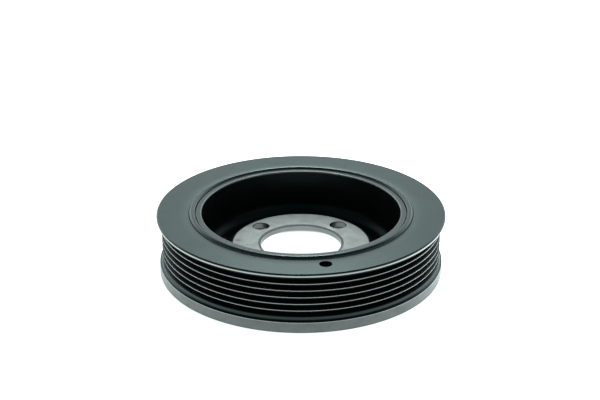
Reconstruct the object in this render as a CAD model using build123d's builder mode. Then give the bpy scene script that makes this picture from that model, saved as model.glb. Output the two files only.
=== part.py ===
from build123d import *
from math import isclose, radians, sqrt, tan
import os

# Crankshaft harmonic balancer: a pressed steel cup hub, an elastomer sleeve squeezed round the cup, and an
# iron inertia ring with six multi-rib belt grooves. All sizes are in millimetres and degrees.
# The origin is the centre of the ring's rear face. +Z is the shaft axis, towards the open side of the cup.
# A drop is measured down from the front face of the ring. The radii build up from the shaft bore outwards.

# ---- Hub: one sheet of steel, deep-drawn to a cup ----
hub_sheet = 3.0
hub_rim_drop = 0.1
hub_rim_chamfer = 0.5
wall_bend = 7.0
channel_width = 10.2
channel_depth = 6.3
channel_bend = 4.0
web_angle = 60
pad_bend = 5.5
pad_drop = 18.7
pad_facing_cut = 0.15

# Shaft bore and bolt holes in the pad
shaft_bore_dia = 42.2
shaft_bore_chamfer_width = 1.3
shaft_bore_chamfer_depth = 0.45
bolt_circle_to_bore = 8.2
bolt_circle_to_pad_edge = 6.3
bolt_hole_dia = 8.6
bolt_hole_chamfer = 0.35
bolt_count = 4
bolt_start_angle = 47.1

# ---- Elastomer sleeve: a moulded band whose front lip bulges out of the gap ----
sleeve_thickness = 3.6
sleeve_length = 19.6
lip_proud = 1.0
lip_rise = 1.4

# ---- Inertia ring: iron casting, turned outside ----
ring_wall = 10.85
ring_bore_chamfer = 0.5
front_flange_rise = 2.8
front_flange_chamfer = 0.6
front_flange_rear_chamfer = 0.5
rear_flange_rise = 1.8
rear_flange_height = 5.9
rear_flange_chamfer = 0.4
neck_fillet = 0.9

# Belt grooves of the 3.56 mm multi-rib section
groove_count = 6
groove_pitch = 3.56
groove_angle = 40
groove_depth = 2.75
rib_tip_land = 0.85
first_groove_drop = 4.79
last_groove_to_rear_flange = 3.31

# Hole drilled in the ring's front face
drill_dia = 6.4
drill_depth = 12.0
drill_point_angle = 118
drill_to_ring_bore = 3.1
drill_position_angle = -79.5

ring_height = (
    first_groove_drop + (groove_count - 1) * groove_pitch + last_groove_to_rear_flange + rear_flange_height
)


def level(drop):
    """Height of a point that lies `drop` below the ring's front face."""
    return ring_height - drop


def same(size, target):
    """True where a measured size is the wanted one, rounding aside."""
    return isclose(size, target, abs_tol=1e-6)


def corners_at(section, radius):
    """Corners of a half section that lie at one radius, from the rear up."""
    return section.vertices().filter_by(lambda corner: same(corner.X, radius)).sort_by(Axis.Y)


# ---- Hub ----
shaft_bore_radius = shaft_bore_dia / 2
bolt_circle_radius = shaft_bore_radius + bolt_circle_to_bore
pad_radius = bolt_circle_radius + bolt_circle_to_pad_edge

pad_level = level(pad_drop)
sheet_level = pad_level + pad_facing_cut
channel_level = pad_level - channel_depth

# The facing cut runs out on the pad's bend, and its edge there is the pad's edge.
facing_runout = sqrt(pad_facing_cut * (2 * pad_bend - pad_facing_cut))
web_top_radius = pad_radius - facing_runout + pad_bend * tan(radians(web_angle / 2))
web_foot_radius = web_top_radius + (sheet_level - channel_level) / tan(radians(web_angle))
cup_radius = web_foot_radius + channel_width
hub_outer_radius = cup_radius + hub_sheet

with BuildPart() as hub:
    with BuildSketch(Plane.XZ) as hub_section:
        with BuildLine():
            FilletPolyline(
                (shaft_bore_radius, sheet_level),
                (web_top_radius, sheet_level),
                (web_foot_radius, channel_level),
                (cup_radius, channel_level),
                (cup_radius, level(hub_rim_drop)),
                radius=[pad_bend, channel_bend, wall_bend],
            )
            offset(amount=hub_sheet, side=Side.RIGHT)
        make_face()
        with Locations((0, pad_level)):
            Rectangle(web_foot_radius, hub_sheet, align=(Align.MIN, Align.MIN), mode=Mode.SUBTRACT)

        chamfer(corners_at(hub_section, cup_radius)[-1], hub_rim_chamfer)
        bore_wall = hub_section.edges().sort_by(Axis.X)[0]
        bore_mouth = corners_at(hub_section, shaft_bore_radius)[-1]
        chamfer(bore_mouth, shaft_bore_chamfer_depth, shaft_bore_chamfer_width, reference=bore_wall)
    revolve(axis=Axis.Z)

    with Locations(Plane.XY.offset(pad_level)):
        with PolarLocations(bolt_circle_radius, bolt_count, bolt_start_angle):
            Hole(bolt_hole_dia / 2)
    flat_faces = hub.faces().filter_by(Plane.XY)
    pad_face = flat_faces.filter_by(lambda face: same(face.center().Z, pad_level))[0]
    bolt_hole_mouths = pad_face.inner_wires().edges().sort_by(SortBy.RADIUS)[:bolt_count]
    chamfer(bolt_hole_mouths, bolt_hole_chamfer)

# ---- Elastomer sleeve ----
ring_bore_radius = hub_outer_radius + sleeve_thickness
lip_level = ring_height + lip_proud
lip_foot_level = lip_level - lip_rise
lip_crest = (hub_outer_radius + sleeve_thickness / 2, lip_level)

with BuildPart() as rubber_sleeve:
    with BuildSketch(Plane.XZ):
        with BuildLine():
            sleeve_sides = Polyline(
                (hub_outer_radius, lip_foot_level),
                (hub_outer_radius, lip_level - sleeve_length),
                (ring_bore_radius, lip_level - sleeve_length),
                (ring_bore_radius, lip_foot_level),
            )
            ThreePointArc(sleeve_sides @ 1, lip_crest, sleeve_sides @ 0)
        make_face()
    revolve(axis=Axis.Z)

# ---- Inertia ring ----
groove_floor_radius = ring_bore_radius + ring_wall
rib_tip_radius = groove_floor_radius + groove_depth
front_flange_radius = rib_tip_radius + front_flange_rise
rear_flange_radius = rib_tip_radius + rear_flange_rise
groove_levels = [level(first_groove_drop + i * groove_pitch) for i in range(groove_count)]

# The cutter's flanks run on past the rib tips to the front flange, so the first groove shapes its rear side.
cutter_reach = groove_depth + front_flange_rise
cutter_overrun = front_flange_rise * tan(radians(groove_angle / 2))
cutter_mouth = groove_pitch - rib_tip_land + 2 * cutter_overrun

with BuildPart() as inertia_ring:
    with BuildSketch(Plane.XZ) as ring_section:
        with BuildLine():
            Polyline(
                (ring_bore_radius, 0),
                (rear_flange_radius, 0),
                (rear_flange_radius, rear_flange_height),
                (rib_tip_radius, rear_flange_height),
                (rib_tip_radius, groove_levels[0]),
                (front_flange_radius, groove_levels[0]),
                (front_flange_radius, ring_height),
                (ring_bore_radius, ring_height),
                close=True,
            )
        make_face()
        with Locations(*[(groove_floor_radius, height) for height in groove_levels]):
            Trapezoid(
                cutter_mouth,
                cutter_reach,
                90 - groove_angle / 2,
                rotation=90,
                align=(Align.CENTER, Align.MAX),
                mode=Mode.SUBTRACT,
            )

        fillet(corners_at(ring_section, rib_tip_radius)[0], neck_fillet)
        chamfer(corners_at(ring_section, rear_flange_radius), rear_flange_chamfer)
        chamfer(corners_at(ring_section, front_flange_radius)[0], front_flange_rear_chamfer)
        chamfer(corners_at(ring_section, front_flange_radius)[-1], front_flange_chamfer)
        chamfer(corners_at(ring_section, ring_bore_radius)[-1], ring_bore_chamfer)
    revolve(axis=Axis.Z)

    drill_radius = drill_dia / 2
    drill_circle_radius = ring_bore_radius + drill_to_ring_bore + drill_radius
    drill_point_length = drill_radius / tan(radians(drill_point_angle / 2))
    with Locations(Plane.XY.offset(ring_height)):
        with PolarLocations(drill_circle_radius, 1, drill_position_angle):
            Hole(drill_radius, depth=drill_depth)
    with Locations(Plane.XY.offset(level(drill_depth))):
        with PolarLocations(drill_circle_radius, 1, drill_position_angle):
            point_align = (Align.CENTER, Align.CENTER, Align.MAX)
            Cone(0, drill_radius, drill_point_length, align=point_align, mode=Mode.SUBTRACT)

os.makedirs("parts", exist_ok=True)
hub.part.label = "hub"
rubber_sleeve.part.label = "rubber_sleeve"
inertia_ring.part.label = "inertia_ring"
export_step(hub.part, "parts/hub.step")
export_step(rubber_sleeve.part, "parts/rubber_sleeve.step")
export_step(inertia_ring.part, "parts/inertia_ring.step")
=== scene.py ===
from math import acos, atan2, cos, degrees, hypot, pi, radians, sin, sqrt, tan

import bpy
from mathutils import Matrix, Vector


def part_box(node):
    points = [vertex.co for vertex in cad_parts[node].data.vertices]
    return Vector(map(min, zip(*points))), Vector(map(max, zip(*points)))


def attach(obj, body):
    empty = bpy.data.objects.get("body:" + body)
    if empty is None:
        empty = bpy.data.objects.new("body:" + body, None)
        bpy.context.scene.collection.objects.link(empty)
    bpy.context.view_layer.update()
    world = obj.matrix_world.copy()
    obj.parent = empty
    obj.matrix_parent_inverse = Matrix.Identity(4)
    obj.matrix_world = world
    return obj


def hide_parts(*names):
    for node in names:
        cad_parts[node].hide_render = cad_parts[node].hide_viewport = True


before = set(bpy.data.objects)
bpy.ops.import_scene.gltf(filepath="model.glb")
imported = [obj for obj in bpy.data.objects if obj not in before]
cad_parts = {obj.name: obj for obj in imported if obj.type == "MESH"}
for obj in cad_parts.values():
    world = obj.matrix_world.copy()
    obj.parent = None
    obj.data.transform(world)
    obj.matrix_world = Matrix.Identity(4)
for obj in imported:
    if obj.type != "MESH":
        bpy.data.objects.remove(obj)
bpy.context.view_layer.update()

# Harmonic balancer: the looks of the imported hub, rubber sleeve and inertia ring. Lengths are in metres.
# Each piece is turned again from its section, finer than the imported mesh, with its small edge radii added.
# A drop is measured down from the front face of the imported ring, and a radius out from the shaft axis.

MM = 0.001
SEGMENTS = 288
PLUG_SEGMENTS = 72
CUTTER_OVERRUN = 1 * MM
ARC_STEP_DEGREES = 14
HARD_EDGE_DEGREES = 32
FLAT_FACE_WEIGHT = 100

# ---- Sizes taken from the frame ----
HUB_LOW, HUB_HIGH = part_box("hub")
SLEEVE_LOW, SLEEVE_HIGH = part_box("rubber_sleeve")
RING_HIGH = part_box("inertia_ring")[1]
RING_TOP = RING_HIGH.z
FLANGE_RADIUS = RING_HIGH.x
RING_BORE_RADIUS = SLEEVE_HIGH.x
HUB_RADIUS = HUB_HIGH.x

# ---- Ring section ----
# Front face, flat and then dished towards the bore: (distance out from the bore, dip below the flat) in mm
FACE_LEVEL = RING_TOP + 0.15 * MM
FACE_DISH = ((5.5, 0.0), (4, 0.02), (3, 0.06), (2, 0.12), (1.2, 0.2), (0.4, 0.31))
BORE_EDGE_LEVEL = FACE_LEVEL - 0.38 * MM
RING_BORE_FILLET = 0.15 * MM

# Front flange, with its edge broken towards the face
FRONT_FLANGE_RISE = 2.2 * MM
FRONT_FLANGE_SWELL = 0.22 * MM
FRONT_FLANGE_CHAMFER = 0.38 * MM
FRONT_FLANGE_CHAMFER_WIDTH = 0.65 * MM
BROKEN_EDGE = 0.12 * MM

# The flange's rear side, from its edge down: a painted land, a worn nose, then the turn in to the groove.
# Each is (distance in from the edge, drop, fillet). The last meets the groove's flank, so it has no drop.
FRONT_FLANGE_LAND = (0, 0.75 * MM, 0)
FRONT_FLANGE_NOSE = (0, 1.0 * MM, 1.0 * MM)
FRONT_FLANGE_WORN_END = (0.2 * MM, 1.6 * MM, 0.5 * MM)
FRONT_FLANGE_TURN_IN = (0.9 * MM, 0.8 * MM)

# Belt grooves and the ribs between them
GROOVE_COUNT = 6
GROOVE_PITCH = 3.56 * MM
GROOVE_DEPTH = 2.75 * MM
GROOVE_SLOPE = tan(radians(20))
GROOVE_ROOT_FILLET = 0.3 * MM
RIB_TIP_LAND = 0.85 * MM
RIB_TIP_FILLET = 0.45 * MM
FIRST_GROOVE_LEVEL = RING_TOP - 4.52 * MM
RIB_TIP_RADIUS = FLANGE_RADIUS - FRONT_FLANGE_RISE
GROOVE_FLOOR_RADIUS = RIB_TIP_RADIUS - GROOVE_DEPTH

# Rear flange and the neck above it
REAR_FLANGE_RADIUS = RIB_TIP_RADIUS + 1.42 * MM
REAR_FLANGE_HEIGHT = 5.98 * MM
REAR_FLANGE_FILLET = 0.4 * MM
# Height of the bare band under the rear flange's top edge: worn iron, and a painted highlight line along
# that edge
REAR_FLANGE_HIGHLIGHT_BAND = 0.6 * MM
NECK_FILLET = 0.9 * MM

# Hole drilled in the ring's front face
DRILL_RADIUS = 3.2 * MM
DRILL_DEPTH = 12 * MM
DRILL_POINT = 1.92 * MM
DRILL_CIRCLE_RADIUS = RING_BORE_RADIUS + 3.1 * MM + DRILL_RADIUS
DRILL_ANGLE = -79.5

# ---- Hub section ----
HUB_SHEET = 3 * MM
HUB_RIM_TOP = HUB_HIGH.z + 0.15 * MM
HUB_RIM_FILLET = 0.65 * MM
HUB_RIM_OUTER_FILLET = 0.4 * MM
CUP_RADIUS = HUB_RADIUS - HUB_SHEET
WALL_BEND = 7 * MM
CHANNEL_BEND = 4 * MM
CHANNEL_LEVEL = HUB_LOW.z + HUB_SHEET
WEB_ANGLE = radians(60)
PAD_BEND = 5.5 * MM
PAD_LEVEL = RING_TOP - 18.7 * MM
PAD_FACING_CUT = 0.15 * MM
SHEET_LEVEL = PAD_LEVEL + PAD_FACING_CUT
BORE_RADIUS = 21.1 * MM
BORE_CHAMFER_WIDTH = 1.3 * MM
BORE_CHAMFER_DEPTH = 0.45 * MM
BOLT_CIRCLE_RADIUS = BORE_RADIUS + 8.2 * MM
PAD_RADIUS = BOLT_CIRCLE_RADIUS + 6.3 * MM
BOLT_HOLE_RADIUS = 4.3 * MM
BOLT_HOLE_CHAMFER = 0.3 * MM
BOLT_COUNT = 4
BOLT_START_ANGLE = 47.1

# ---- Sleeve section ----
LIP_CREST = SLEEVE_HIGH.z + 0.04 * MM
LIP_INNER_FILLET = 1.4 * MM
LIP_OUTER_FILLET = 1.6 * MM
LIP_INNER_CLEFT = 0.25 * MM
LIP_OUTER_CLEFT = 0.05 * MM
LIP_CLEFT_DEPTH = 1.0 * MM

# ---- Finishes: the place of each in its piece's list of materials ----
PAINTED, BARE = 0, 1
# The ring's others
DULL_AND_SHADED, GROOVED = 2, 3
# The hub's others
CUT, RIM, MATT, WORN_AND_HIGHLIGHT = 2, 3, 4, 5

# ---- Tints of the gloss ----
PAINT_TINT = (0.70, 1.0, 0.98)
RIM_TINT = (0.84, 1.0, 0.98)
RUBBER_TINT = (0.80, 1.0, 0.98)

# ---- Scuffs: (centre, length, width, strength) ----
SCUFF_CORE = 0.4
PAINT_CHIPS = [
    ((24.7 * MM, 57.0 * MM), 1.0 * MM, 1.6 * MM, 0.6),
    ((-64.1 * MM, -4.8 * MM), 1.2 * MM, 1.6 * MM, 0.3),
]
PAD_SCUFFS = [
    ((-32.9 * MM, 2.6 * MM), 4.6 * MM, 1.7 * MM, 1.0),
    ((-28.1 * MM, -2.8 * MM), 2.0 * MM, 1.6 * MM, 0.5),
    ((-25.3 * MM, 12.5 * MM), 0.8 * MM, 4.0 * MM, 0.25),
]

# ---- Floor, light and camera ----
FLOOR_HALF_WIDTH = 3.0
FLOOR_GLOW = 1.12
FLOOR_PAINTED_GLOW_BEHIND = 2.3
# Painted shade on the floor under the hub, round the painted pool of light
FLOOR_SHADE = 0.2
FLOOR_GLOW_COLOUR = (0.9, 1, 0.99, 1)
# The painted shadow round the rear flange and the painted pool of light on the floor seen through the bore
# fade over these radii.
PAINTED_SHADOW_CENTRE = (-0.5 * MM, 0.3 * MM)
PAINTED_SHADOW_FADE = (70 * MM, 75.5 * MM)
PAINTED_LIGHT_POOL_CENTRE = (0, 10 * MM)
PAINTED_LIGHT_POOL_FADE = (30.5 * MM, 33 * MM)
# Painted light: the floor's glow grows towards the back over these Y, and is less at the left of these X.
PAINTED_GLOW_BACK_FADE = (-80 * MM, -15 * MM)
PAINTED_GLOW_LEFT_FADE = (-80 * MM, -20 * MM)
PAINTED_GLOW_LEFT_SHARE = 0.4

SWEEP_GLOW = 1.07
CEILING_GLOW = 0.10
FLANK_GLOW = 1.8
SWEEP_COLOUR = (0.85, 1, 0.99, 1)
# Elevations in degrees over which the low glow and the bank behind the part end
HORIZON_FADE = (6, 18)
BANK_FADE = (34, 56)
# The bank begins over these Y of a direction, and the flanks brighten over these squares of its X.
BEHIND_FADE = (0.2, 0.7)
FLANK_FADE = (0.05, 0.15)

# Softboxes behind the part: (place, width, height, watts)
HIGH_SOFTBOX = ((0, 0.61, 0.80), 0.22, 0.17, 4.4)
LOW_SOFTBOX = ((0, 0.60, 0.46), 0.16, 0.10, 0.16)
SOFTBOX_AIM = (0, 0, 0.03)
SOFTBOX_COLOUR = (0.86, 1, 0.985)

SENSOR_WIDTH_MM = 36
LENS_MM = 84.1
# The camera's distance and elevation are taken from the middle of the ring's front face.
CAMERA_DISTANCE = 0.7258
CAMERA_ELEVATION = radians(24.245)
CAMERA_TILT = radians(23.851)
CAMERA_SIDE = -0.52 * MM


# ---- Outlines: lists of (radius, height, finish of the stretch that follows) ----
def arc(centre, radius, start, end, finish):
    """Points along a circular arc in the section, from one angle to another, in degrees from outwards."""
    steps = max(2, round(abs(end - start) / ARC_STEP_DEGREES))
    angles = [radians(start + (end - start) * i / steps) for i in range(steps + 1)]
    return [(centre[0] + radius * cos(a), centre[1] + radius * sin(a), finish) for a in angles]


def rounded(corners):
    """An outline through corners, each with a tangent arc of its fillet.

    A corner is (radius, height, fillet, finish of the fillet, finish of the stretch that follows).
    """
    points = []
    for i, (r, z, fillet, edge, finish) in enumerate(corners):
        if not fillet:
            points.append((r, z, finish))
            continue
        before, after = corners[i - 1], corners[(i + 1) % len(corners)]
        back = atan2(before[1] - z, before[0] - r)
        ahead = atan2(after[1] - z, after[0] - r)
        half = ((ahead - back + pi) % (2 * pi) - pi) / 2
        reach = fillet / sin(abs(half))
        centre = (r + reach * cos(back + half), z + reach * sin(back + half))
        side = 1 if half < 0 else -1
        start = degrees(back) + side * 90
        turn = side * (180 - 2 * degrees(abs(half)))
        curve = arc(centre, fillet, start, start + turn, edge)
        points += [*curve[:-1], (*curve[-1][:2], finish)]
    return points


def rear_flange_corners():
    """Corners of the ring's rear face, rear flange and neck."""
    return [
        (RING_BORE_RADIUS, 0, 0, PAINTED, PAINTED),
        # The rear flange's dull iron stands partly for painted shade from the floor close below it
        (REAR_FLANGE_RADIUS, 0, REAR_FLANGE_FILLET, PAINTED, DULL_AND_SHADED),
        # Bare band under the top edge: worn iron, and a painted highlight line
        (REAR_FLANGE_RADIUS, REAR_FLANGE_HEIGHT - REAR_FLANGE_HIGHLIGHT_BAND, 0, DULL_AND_SHADED, BARE),
        (REAR_FLANGE_RADIUS, REAR_FLANGE_HEIGHT, REAR_FLANGE_FILLET, PAINTED, PAINTED),
        (RIB_TIP_RADIUS, REAR_FLANGE_HEIGHT, NECK_FILLET, PAINTED, PAINTED),
    ]


def groove_corners(floor_half):
    """Corners of the belt grooves, from the rear up, without the first groove's front flank."""
    mouth_half = floor_half + GROOVE_DEPTH * GROOVE_SLOPE
    corners = []
    for i in reversed(range(GROOVE_COUNT)):
        middle = FIRST_GROOVE_LEVEL - i * GROOVE_PITCH
        corners += [
            (RIB_TIP_RADIUS, middle - mouth_half, RIB_TIP_FILLET, GROOVED, GROOVED),
            (GROOVE_FLOOR_RADIUS, middle - floor_half, GROOVE_ROOT_FILLET, GROOVED, GROOVED),
            (GROOVE_FLOOR_RADIUS, middle + floor_half, GROOVE_ROOT_FILLET, GROOVED, GROOVED),
        ]
        if i > 0:
            corners.append((RIB_TIP_RADIUS, middle + mouth_half, RIB_TIP_FILLET, GROOVED, BARE))
    return corners


def front_flange_corners(floor_half):
    """Corners of the front flange, from the first groove's flank round to the front face."""
    radius = FLANGE_RADIUS + FRONT_FLANGE_SWELL
    inset, fillet = FRONT_FLANGE_TURN_IN
    flank_end = FIRST_GROOVE_LEVEL + floor_half + (radius - inset - GROOVE_FLOOR_RADIUS) * GROOVE_SLOPE
    corners = [(radius - inset, flank_end, fillet, GROOVED, GROOVED)]
    for (inset, drop, fillet), edge, finish in (
        (FRONT_FLANGE_WORN_END, GROOVED, BARE),
        (FRONT_FLANGE_NOSE, BARE, BARE),
        (FRONT_FLANGE_LAND, PAINTED, PAINTED),
    ):
        corners.append((radius - inset, RING_TOP - drop, fillet, edge, finish))
    return corners + [
        (radius, RING_TOP - FRONT_FLANGE_CHAMFER, BROKEN_EDGE, PAINTED, PAINTED),
        (radius - FRONT_FLANGE_CHAMFER_WIDTH, FACE_LEVEL, BROKEN_EDGE, PAINTED, PAINTED),
    ]


def ring_outline():
    """Section of the ring: from the rear of its bore, out round the grooves and back over the face."""
    floor_half = (GROOVE_PITCH - RIB_TIP_LAND) / 2 - GROOVE_DEPTH * GROOVE_SLOPE
    corners = rear_flange_corners() + groove_corners(floor_half) + front_flange_corners(floor_half)
    dish = [(RING_BORE_RADIUS + reach * MM, FACE_LEVEL - dip * MM, PAINTED) for reach, dip in FACE_DISH]
    bore_edge = [
        (*dish[-1][:2], 0, PAINTED, PAINTED),
        (RING_BORE_RADIUS, BORE_EDGE_LEVEL, RING_BORE_FILLET, PAINTED, PAINTED),
        (RING_BORE_RADIUS, 0, 0, PAINTED, PAINTED),
    ]
    # The ends of the bore's edge only aim its fillet: the dish and the first corner stand for them.
    return rounded(corners) + dish + rounded(bore_edge)[1:-1]


def hub_outline():
    """Section of the pressed sheet: out along its underside to the rim, and back along its upper side."""
    bend_middle = PAD_RADIUS - sqrt(PAD_FACING_CUT * (2 * PAD_BEND - PAD_FACING_CUT))
    runout = degrees(acos(1 - PAD_FACING_CUT / PAD_BEND))
    web_top = bend_middle + PAD_BEND * tan(WEB_ANGLE / 2)
    web_foot = web_top + (SHEET_LEVEL - CHANNEL_LEVEL) / tan(WEB_ANGLE)
    under_shift = HUB_SHEET * tan(WEB_ANGLE / 2)
    corners = [
        (BORE_RADIUS, SHEET_LEVEL - HUB_SHEET, 0, PAINTED, PAINTED),
        (web_top - under_shift, SHEET_LEVEL - HUB_SHEET, PAD_BEND - HUB_SHEET, PAINTED, PAINTED),
        (web_foot - under_shift, HUB_LOW.z, CHANNEL_BEND + HUB_SHEET, PAINTED, PAINTED),
        (HUB_RADIUS, HUB_LOW.z, WALL_BEND + HUB_SHEET, PAINTED, PAINTED),
        # The rim's fillets are worn metal, brighter than the paint: wear, and a painted highlight along both
        # edges of the rim
        (HUB_RADIUS, HUB_RIM_TOP, HUB_RIM_OUTER_FILLET, WORN_AND_HIGHLIGHT, RIM),
        (CUP_RADIUS, HUB_RIM_TOP, HUB_RIM_FILLET, WORN_AND_HIGHLIGHT, PAINTED),
        (CUP_RADIUS, CHANNEL_LEVEL, WALL_BEND, PAINTED, PAINTED),
        (web_foot, CHANNEL_LEVEL, CHANNEL_BEND, PAINTED, PAINTED),
    ]
    pad_edge = arc(
        (bend_middle, SHEET_LEVEL - PAD_BEND), PAD_BEND, 90 - degrees(WEB_ANGLE), 90 - runout, PAINTED
    )
    pad_face = [
        (PAD_RADIUS, PAD_LEVEL, BARE),
        (BORE_RADIUS + BORE_CHAMFER_WIDTH, PAD_LEVEL, MATT),
        (BORE_RADIUS, PAD_LEVEL - BORE_CHAMFER_DEPTH, CUT),
    ]
    # The web's top end only aims the channel's fillet, and gives way to the start of the pad's bend.
    return rounded([*corners, (*pad_edge[0][:2], 0, PAINTED, PAINTED)])[:-1] + pad_edge[:-1] + pad_face


def sleeve_outline():
    """Section of the sleeve: straight in the gap, then a narrower lip that bulges out of it."""
    inner, outer = HUB_RADIUS + LIP_INNER_CLEFT, RING_BORE_RADIUS - LIP_OUTER_CLEFT
    foot = RING_TOP - LIP_CLEFT_DEPTH
    corners = [
        (HUB_RADIUS, SLEEVE_LOW.z, 0),
        (RING_BORE_RADIUS, SLEEVE_LOW.z, 0),
        (RING_BORE_RADIUS, foot, 0),
        (outer, foot, 0),
        (outer, LIP_CREST, LIP_OUTER_FILLET),
        (inner, LIP_CREST, LIP_INNER_FILLET),
        (inner, foot, 0),
        (HUB_RADIUS, foot, 0),
    ]
    return rounded([(*corner, PAINTED, PAINTED) for corner in corners])


# ---- Meshes ----
def add_object(name, data):
    """A new object in the scene that shows the data."""
    thing = bpy.data.objects.new(name, data)
    bpy.context.scene.collection.objects.link(thing)
    return thing


def turned(name, outline, materials):
    """A closed mesh made by turning an outline about the shaft axis."""
    count = len(outline)
    angles = [2 * pi * i / SEGMENTS for i in range(SEGMENTS)]
    points = [(r * cos(a), r * sin(a), z) for a in angles for r, z, finish in outline]
    faces, finishes = [], []
    for i in range(SEGMENTS):
        this, following = i * count, (i + 1) % SEGMENTS * count
        for j in range(count):
            k = (j + 1) % count
            faces.append((this + j, following + j, following + k, this + k))
            finishes.append(outline[j][2])
    mesh = bpy.data.meshes.new(name)
    mesh.from_pydata(points, [], faces)
    for material in materials:
        mesh.materials.append(material)
    mesh.polygons.foreach_set("material_index", finishes)
    mesh.update()
    return add_object(name, mesh)


def plug(name, outline, place, material):
    """A solid cutter at a place: an outline whose first and last points lie on the cutter's own axis."""
    angles = [2 * pi * i / PLUG_SEGMENTS for i in range(PLUG_SEGMENTS)]
    rims = outline[1:-1]
    count = len(rims)
    points = [(place[0] + r * cos(a), place[1] + r * sin(a), z) for a in angles for r, z in rims]
    points += [(place[0], place[1], outline[0][1]), (place[0], place[1], outline[-1][1])]
    low, high = len(points) - 2, len(points) - 1
    faces = []
    for i in range(PLUG_SEGMENTS):
        this, following = i * count, (i + 1) % PLUG_SEGMENTS * count
        faces.append((low, following, this))
        faces += [(this + j, following + j, following + j + 1, this + j + 1) for j in range(count - 1)]
        faces.append((high, this + count - 1, following + count - 1))
    mesh = bpy.data.meshes.new(name)
    mesh.from_pydata(points, [], faces)
    mesh.materials.append(material)
    return add_object(name, mesh)


def cut(piece, cutters):
    """Takes the cutters out of a piece and leaves it a plain mesh."""
    for cutter in cutters:
        hole = piece.modifiers.new(cutter.name, "BOOLEAN")
        hole.object = cutter
        hole.operation = "DIFFERENCE"
        hole.solver = "EXACT"
        hole.material_mode = "TRANSFER"
    bpy.context.view_layer.update()
    shaped = piece.evaluated_get(bpy.context.evaluated_depsgraph_get())
    mesh = bpy.data.meshes.new_from_object(shaped)
    piece.modifiers.clear()
    piece.data = mesh
    for cutter in cutters:
        bpy.data.objects.remove(cutter)


def soften(piece):
    """Smooth shading that keeps hard edges hard and flat faces flat."""
    piece.data.polygons.foreach_set("use_smooth", [True] * len(piece.data.polygons))
    piece.data.set_sharp_from_angle(angle=radians(HARD_EDGE_DEGREES))
    normals = piece.modifiers.new("flat_faces", "WEIGHTED_NORMAL")
    normals.keep_sharp = True
    normals.weight = FLAT_FACE_WEIGHT


def polar(radius, angle):
    """The point (x, y) at a radius and an angle in degrees."""
    return (radius * cos(radians(angle)), radius * sin(radians(angle)))


# ---- Shader nodes ----
def new_material(name):
    """A material with its node tree, its Principled shader and its texture coordinates in metres."""
    material = bpy.data.materials.new(name)
    material.use_nodes = True
    tree = material.node_tree
    shader = tree.nodes["Principled BSDF"]
    place = tree.nodes.new("ShaderNodeTexCoord").outputs["Object"]
    return material, tree, shader, place


def apart(tree, place):
    """The X, Y and Z of each point, as a node's outputs."""
    parts = tree.nodes.new("ShaderNodeSeparateXYZ")
    tree.links.new(place, parts.inputs["Vector"])
    return parts.outputs


def noise(tree, place, size, detail=3.0, roughness=0.55):
    """Value of a noise whose blotches are about `size` metres across."""
    texture = tree.nodes.new("ShaderNodeTexNoise")
    texture.inputs["Scale"].default_value = 1 / size
    texture.inputs["Detail"].default_value = detail
    texture.inputs["Roughness"].default_value = roughness
    tree.links.new(place, texture.inputs["Vector"])
    return texture.outputs["Fac"]


def spread(tree, value, low, high, to_low, to_high):
    """A value moved from one range to another, and held to it."""
    remap = tree.nodes.new("ShaderNodeMapRange")
    for name, number in zip(("From Min", "From Max", "To Min", "To Max"), (low, high, to_low, to_high)):
        remap.inputs[name].default_value = number
    tree.links.new(value, remap.inputs["Value"])
    return remap.outputs["Result"]


def reckon(tree, operation, first, second=0.0):
    """The result of a Math node on two sockets or numbers."""
    node = tree.nodes.new("ShaderNodeMath")
    node.operation = operation
    for socket, value in zip(node.inputs, (first, second)):
        if isinstance(value, (int, float)):
            socket.default_value = value
        else:
            tree.links.new(value, socket)
    return node.outputs["Value"]


def blend(tree, share, first, second):
    """A colour between two colours or sockets."""
    mix = tree.nodes.new("ShaderNodeMix")
    mix.data_type = "RGBA"
    tree.links.new(share, mix.inputs["Factor"])
    # Sockets 6 and 7 are the node's colours A and B, and output 2 is its colour.
    for socket, colour in zip((mix.inputs[6], mix.inputs[7]), (first, second)):
        if isinstance(colour, tuple):
            socket.default_value = (*colour, 1)
        else:
            tree.links.new(colour, socket)
    return mix.outputs[2]


def bump(tree, shader, heights):
    """Chains bumps of (height socket, depth in metres) into the shader's normal."""
    normal = None
    for height, depth in heights:
        node = tree.nodes.new("ShaderNodeBump")
        node.inputs["Distance"].default_value = depth
        tree.links.new(height, node.inputs["Height"])
        if normal is not None:
            tree.links.new(normal, node.inputs["Normal"])
        normal = node.outputs["Normal"]
    tree.links.new(normal, shader.inputs["Normal"])


def distance_from_axis(tree, place, centre=(0.0, 0.0)):
    """Distance of each point from an upright line, the shaft axis unless a centre (x, y) is given."""
    parts = apart(tree, place)
    sides = [
        reckon(tree, "SUBTRACT", parts["X"], centre[0]),
        reckon(tree, "SUBTRACT", parts["Y"], centre[1]),
    ]
    squares = [reckon(tree, "MULTIPLY", side, side) for side in sides]
    return reckon(tree, "SQRT", reckon(tree, "ADD", squares[0], squares[1]))


def turning_marks(tree, place, pitch, along_axis):
    """Height of the fine tool marks of a lathe, ring after ring, uneven in depth."""
    distance = apart(tree, place)["Z"] if along_axis else distance_from_axis(tree, place)
    rings = tree.nodes.new("ShaderNodeTexNoise")
    rings.noise_dimensions = "1D"
    rings.inputs["Scale"].default_value = 1 / pitch
    rings.inputs["Detail"].default_value = 2
    tree.links.new(distance, rings.inputs["W"])
    return rings.outputs["Fac"]


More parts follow.
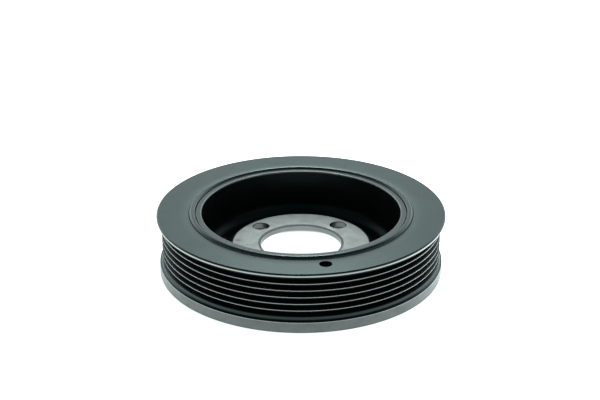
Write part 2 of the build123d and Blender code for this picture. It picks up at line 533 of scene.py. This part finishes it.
def mark(tree, place, centre, length, width, strength):
    """Share of a small level scuff at each point: full in its core, none outside its oval."""
    oval = tree.nodes.new("ShaderNodeMapping")
    oval.vector_type = "TEXTURE"
    oval.inputs["Location"].default_value = (*centre, 0)
    oval.inputs["Scale"].default_value = (length / 2, width / 2, 1)
    tree.links.new(place, oval.inputs["Vector"])
    reach = tree.nodes.new("ShaderNodeVectorMath")
    reach.operation = "LENGTH"
    tree.links.new(oval.outputs["Vector"], reach.inputs[0])
    return spread(tree, reach.outputs["Value"], SCUFF_CORE, 1.0, strength, 0.0)


def marks_together(tree, place, marks):
    """The strongest of several scuffs at each point."""
    share = mark(tree, place, *marks[0])
    for other in marks[1:]:
        share = reckon(tree, "MAXIMUM", share, mark(tree, place, *other))
    return share


# ---- Materials ----
def black_paint(name, colour, faded, roughness, specular, chips=(), tint=PAINT_TINT):
    """Satin black coat: faint cloudiness, orange peel, a fine grain of dust in the film and dull chips."""
    material, tree, shader, place = new_material(name)
    clouds = noise(tree, place, 14 * MM)
    grain = noise(tree, place, 0.45 * MM, detail=2)
    base = blend(tree, spread(tree, clouds, 0.35, 0.65, 0.0, 1.0), colour, faded)
    tree.links.new(base, shader.inputs["Base Color"])
    uneven = reckon(tree, "ADD", spread(tree, clouds, 0.3, 0.7, -0.03, 0.03), roughness)
    uneven = reckon(tree, "ADD", uneven, spread(tree, grain, 0.3, 0.7, -0.02, 0.02))
    if chips:
        uneven = reckon(tree, "ADD", uneven, marks_together(tree, place, chips))
    tree.links.new(uneven, shader.inputs["Roughness"])
    shader.inputs["Specular Tint"].default_value = (*tint, 1)
    shader.inputs["Specular IOR Level"].default_value = specular
    bump(tree, shader, [(noise(tree, place, 1.3 * MM), 0.004 * MM), (grain, 0.001 * MM)])
    return material


def bare_metal(name, colour, stained, roughness, along_axis, scuffs=()):
    """Turned metal: tool marks, cloudy handling stains, a few darker pits and dark scuffs."""
    material, tree, shader, place = new_material(name)
    shader.inputs["Metallic"].default_value = 1.0
    stains = noise(tree, place, 6 * MM, detail=5, roughness=0.65)
    tool_marks = turning_marks(tree, place, 0.16 * MM, along_axis)
    base = blend(tree, spread(tree, stains, 0.40, 0.68, 0.0, 1.0), colour, stained)
    pits = spread(tree, noise(tree, place, 0.5 * MM, detail=2), 0.68, 0.78, 0.0, 0.6)
    if scuffs:
        pits = reckon(tree, "MAXIMUM", pits, marks_together(tree, place, scuffs))
    dark = tuple(0.35 * value for value in stained)
    tree.links.new(blend(tree, pits, base, dark), shader.inputs["Base Color"])
    uneven = reckon(tree, "ADD", spread(tree, stains, 0.3, 0.7, -0.05, 0.08), roughness)
    tree.links.new(uneven, shader.inputs["Roughness"])
    bump(tree, shader, [(tool_marks, 0.004 * MM), (noise(tree, place, 0.9 * MM), 0.004 * MM)])
    return material


def black_rubber(name):
    """Moulded rubber: a soft bloom and the fine grain of the mould."""
    material, tree, shader, place = new_material(name)
    bloom = noise(tree, place, 5 * MM, detail=4)
    grain = noise(tree, place, 0.3 * MM, detail=2)
    clean, bloomed = (0.003, 0.004, 0.004), (0.006, 0.008, 0.008)
    base = blend(tree, spread(tree, bloom, 0.35, 0.7, 0.0, 1.0), clean, bloomed)
    tree.links.new(base, shader.inputs["Base Color"])
    tree.links.new(spread(tree, bloom, 0.3, 0.7, 0.24, 0.28), shader.inputs["Roughness"])
    shader.inputs["Specular Tint"].default_value = (*RUBBER_TINT, 1)
    bump(tree, shader, [(grain, 0.003 * MM)])
    return material


def ring_materials():
    """The ring's materials, in the order of its finishes."""
    paint, paint_faded = (0.003, 0.004, 0.004), (0.005, 0.006, 0.006)
    bare, bare_stained = (0.43, 0.437, 0.432), (0.39, 0.396, 0.392)
    # The dull iron of the rear flange is darker than the bare iron: partly its own duller finish, partly
    # painted shade from the floor close below it
    dull, dull_stained = (0.14, 0.15, 0.148), (0.12, 0.13, 0.128)
    groove, groove_faded = (0.002, 0.003, 0.003), (0.004, 0.005, 0.005)
    return [
        black_paint(
            "ring_black_paint", paint, paint_faded, roughness=0.30, specular=0.5, chips=PAINT_CHIPS
        ),
        bare_metal("ring_bare_iron", bare, bare_stained, roughness=0.30, along_axis=True),
        bare_metal("ring_dull_iron_and_shade", dull, dull_stained, roughness=0.36, along_axis=True),
        black_paint("groove_black_paint", groove, groove_faded, roughness=0.45, specular=0.15),
    ]


def hub_materials():
    """The hub's materials, in the order of its finishes."""
    paint, paint_faded = (0.003, 0.0034, 0.0034), (0.005, 0.0056, 0.0056)
    faced, faced_stained = (0.27, 0.27, 0.265), (0.25, 0.25, 0.245)
    cut_edge, cut_stained = (0.26, 0.26, 0.255), (0.24, 0.24, 0.235)
    rim, rim_faded = (0.004, 0.004, 0.004), (0.006, 0.006, 0.006)
    matt, matt_faded = (0.20, 0.21, 0.205), (0.17, 0.18, 0.175)
    # Worn edge metal on the rim's fillets: wear, and a painted highlight along the rim's edges
    worn, worn_stained = (0.14, 0.144, 0.142), (0.12, 0.123, 0.122)
    return [
        black_paint("hub_black_paint", paint, paint_faded, roughness=0.32, specular=0.2),
        bare_metal(
            "hub_bare_steel", faced, faced_stained, roughness=0.55, along_axis=False, scuffs=PAD_SCUFFS
        ),
        bare_metal("hub_cut_edge", cut_edge, cut_stained, roughness=0.20, along_axis=True),
        black_paint("hub_rim_paint", rim, rim_faded, roughness=0.30, specular=0.5, tint=RIM_TINT),
        black_paint("hub_matt_edge", matt, matt_faded, roughness=0.60, specular=0.2),
        bare_metal("hub_worn_edge_highlight", worn, worn_stained, roughness=0.30, along_axis=False),
    ]


def drilled_steel():
    """The material of the walls of the bolt holes."""
    drilled, stained = (0.15, 0.15, 0.148), (0.13, 0.13, 0.128)
    return bare_metal("hub_drilled_steel", drilled, stained, roughness=0.20, along_axis=True)


def studio_floor(name):
    """Pale seamless paper with a barely seen fibre, which glows, with a painted shadow round the part's rear
    flange, painted shade under the hub and a painted pool of light where the floor is seen through the bore.
    """
    material, tree, shader, place = new_material(name)
    fibre = noise(tree, place, 1.5 * MM, detail=4)
    parts = apart(tree, place)
    # Painted glow on the floor: brighter towards the back, less at the left
    back = spread(tree, parts["Y"], *PAINTED_GLOW_BACK_FADE, 0.0, 1.0)
    painted_glow_less_on_left = spread(tree, parts["X"], *PAINTED_GLOW_LEFT_FADE, PAINTED_GLOW_LEFT_SHARE, 1.0)
    painted_glow_sweep = spread(tree, reckon(tree, "MULTIPLY", back, painted_glow_less_on_left), 0, 1, FLOOR_GLOW, FLOOR_PAINTED_GLOW_BEHIND)
    # Painted pool of light where the floor is seen through the bore, with painted shade under the hub round
    # it
    from_painted_light_pool = distance_from_axis(tree, place, PAINTED_LIGHT_POOL_CENTRE)
    painted_light_pool = spread(tree, from_painted_light_pool, *PAINTED_LIGHT_POOL_FADE, FLOOR_GLOW, FLOOR_SHADE)
    # Painted contact shadow round the rear flange
    from_painted_shadow = distance_from_axis(tree, place, PAINTED_SHADOW_CENTRE)
    outside = spread(tree, from_painted_shadow, *PAINTED_SHADOW_FADE, 0.0, 1.0)
    glow = reckon(tree, "MAXIMUM", painted_light_pool, reckon(tree, "MULTIPLY", outside, painted_glow_sweep))
    tree.links.new(glow, shader.inputs["Emission Strength"])
    shader.inputs["Emission Color"].default_value = FLOOR_GLOW_COLOUR
    paper, fibres = (0.20, 0.20, 0.20), (0.24, 0.24, 0.24)
    tree.links.new(blend(tree, fibre, paper, fibres), shader.inputs["Base Color"])
    shader.inputs["Roughness"].default_value = 0.9
    shader.inputs["Specular IOR Level"].default_value = 0.1
    bump(tree, shader, [(fibre, 0.02 * MM)])
    return material


# ---- Pieces ----
def make_ring():
    materials = ring_materials()
    ring = turned("ring_turned", ring_outline(), materials)
    bottom, top = RING_TOP - DRILL_DEPTH, RING_TOP + CUTTER_OVERRUN
    drill = [(0, bottom - DRILL_POINT), (DRILL_RADIUS, bottom), (DRILL_RADIUS, top), (0, top)]
    cut(ring, [plug("drill", drill, polar(DRILL_CIRCLE_RADIUS, DRILL_ANGLE), materials[PAINTED])])
    soften(ring)
    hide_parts("inertia_ring")
    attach(ring, "root")


def make_hub():
    hub = turned("hub_pressing", hub_outline(), hub_materials())
    drilled = drilled_steel()
    low, high = HUB_LOW.z, PAD_LEVEL + CUTTER_OVERRUN
    bolt = [
        (0, low),
        (BOLT_HOLE_RADIUS, low),
        (BOLT_HOLE_RADIUS, PAD_LEVEL - BOLT_HOLE_CHAMFER),
        (BOLT_HOLE_RADIUS + BOLT_HOLE_CHAMFER + CUTTER_OVERRUN, high),
        (0, high),
    ]
    places = [
        polar(BOLT_CIRCLE_RADIUS, BOLT_START_ANGLE + 360 * i / BOLT_COUNT) for i in range(BOLT_COUNT)
    ]
    cut(hub, [plug(f"bolt_{i}", bolt, place, drilled) for i, place in enumerate(places)])
    soften(hub)
    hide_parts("hub")
    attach(hub, "root")


def make_sleeve():
    sleeve = turned("rubber_lip", sleeve_outline(), [black_rubber("black_rubber")])
    soften(sleeve)
    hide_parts("rubber_sleeve")
    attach(sleeve, "root")


# ---- Studio ----
def make_floor():
    mesh = bpy.data.meshes.new("studio_floor")
    half = FLOOR_HALF_WIDTH
    corners = [(-half, -half, 0), (half, -half, 0), (half, half, 0), (-half, half, 0)]
    mesh.from_pydata(corners, [], [(0, 1, 2, 3)])
    mesh.materials.append(studio_floor("floor_paper_painted_light_and_shade"))
    add_object("studio_floor", mesh)


def softbox(name, place, width, height, watts):
    """A rectangular area light at a place, facing the part."""
    data = bpy.data.lights.new(name, "AREA")
    data.shape = "RECTANGLE"
    data.size = width
    data.size_y = height
    data.energy = watts
    data.color = SOFTBOX_COLOUR
    light = add_object(name, data)
    light.location = place
    sight = [a - p for a, p in zip(SOFTBOX_AIM, place)]
    rise = atan2(sight[2], hypot(sight[0], sight[1]))
    light.rotation_euler = (pi / 2 + rise, 0, atan2(sight[1], sight[0]) - pi / 2)


def make_light():
    """A white sweep, low all round and high behind, brighter at the flanks, and two softboxes behind."""
    world = bpy.data.worlds.new("studio")
    world.use_nodes = True
    tree = world.node_tree
    parts = apart(tree, tree.nodes.new("ShaderNodeTexCoord").outputs["Generated"])
    horizon = spread(tree, parts["Z"], *(sin(radians(angle)) for angle in HORIZON_FADE), 1.0, 0.0)
    bank = spread(tree, parts["Z"], *(sin(radians(angle)) for angle in BANK_FADE), 1.0, 0.0)
    bank = reckon(tree, "MULTIPLY", bank, spread(tree, parts["Y"], *BEHIND_FADE, 0.0, 1.0))
    glow = spread(tree, reckon(tree, "MAXIMUM", horizon, bank), 0, 1, CEILING_GLOW, SWEEP_GLOW)
    aside = reckon(tree, "MULTIPLY", parts["X"], parts["X"])
    glow = reckon(tree, "MULTIPLY", glow, spread(tree, aside, *FLANK_FADE, 1.0, FLANK_GLOW))
    background = tree.nodes["Background"]
    background.inputs["Color"].default_value = SWEEP_COLOUR
    tree.links.new(glow, background.inputs["Strength"])
    bpy.context.scene.world = world
    bpy.context.scene.view_settings.view_transform = "Standard"
    softbox("high_softbox", *HIGH_SOFTBOX)
    softbox("low_softbox", *LOW_SOFTBOX)


def make_camera():
    """A camera before the part, a short way off and looking down on it."""
    data = bpy.data.cameras.new("camera")
    data.sensor_width = SENSOR_WIDTH_MM
    data.lens = LENS_MM
    camera = add_object("camera", data)
    back, up = CAMERA_DISTANCE * cos(CAMERA_ELEVATION), CAMERA_DISTANCE * sin(CAMERA_ELEVATION)
    camera.location = (CAMERA_SIDE, -back, RING_TOP + up)
    camera.rotation_euler = (pi / 2 - CAMERA_TILT, 0, 0)
    bpy.context.scene.camera = camera


make_ring()
make_hub()
make_sleeve()
make_floor()
make_light()
make_camera()
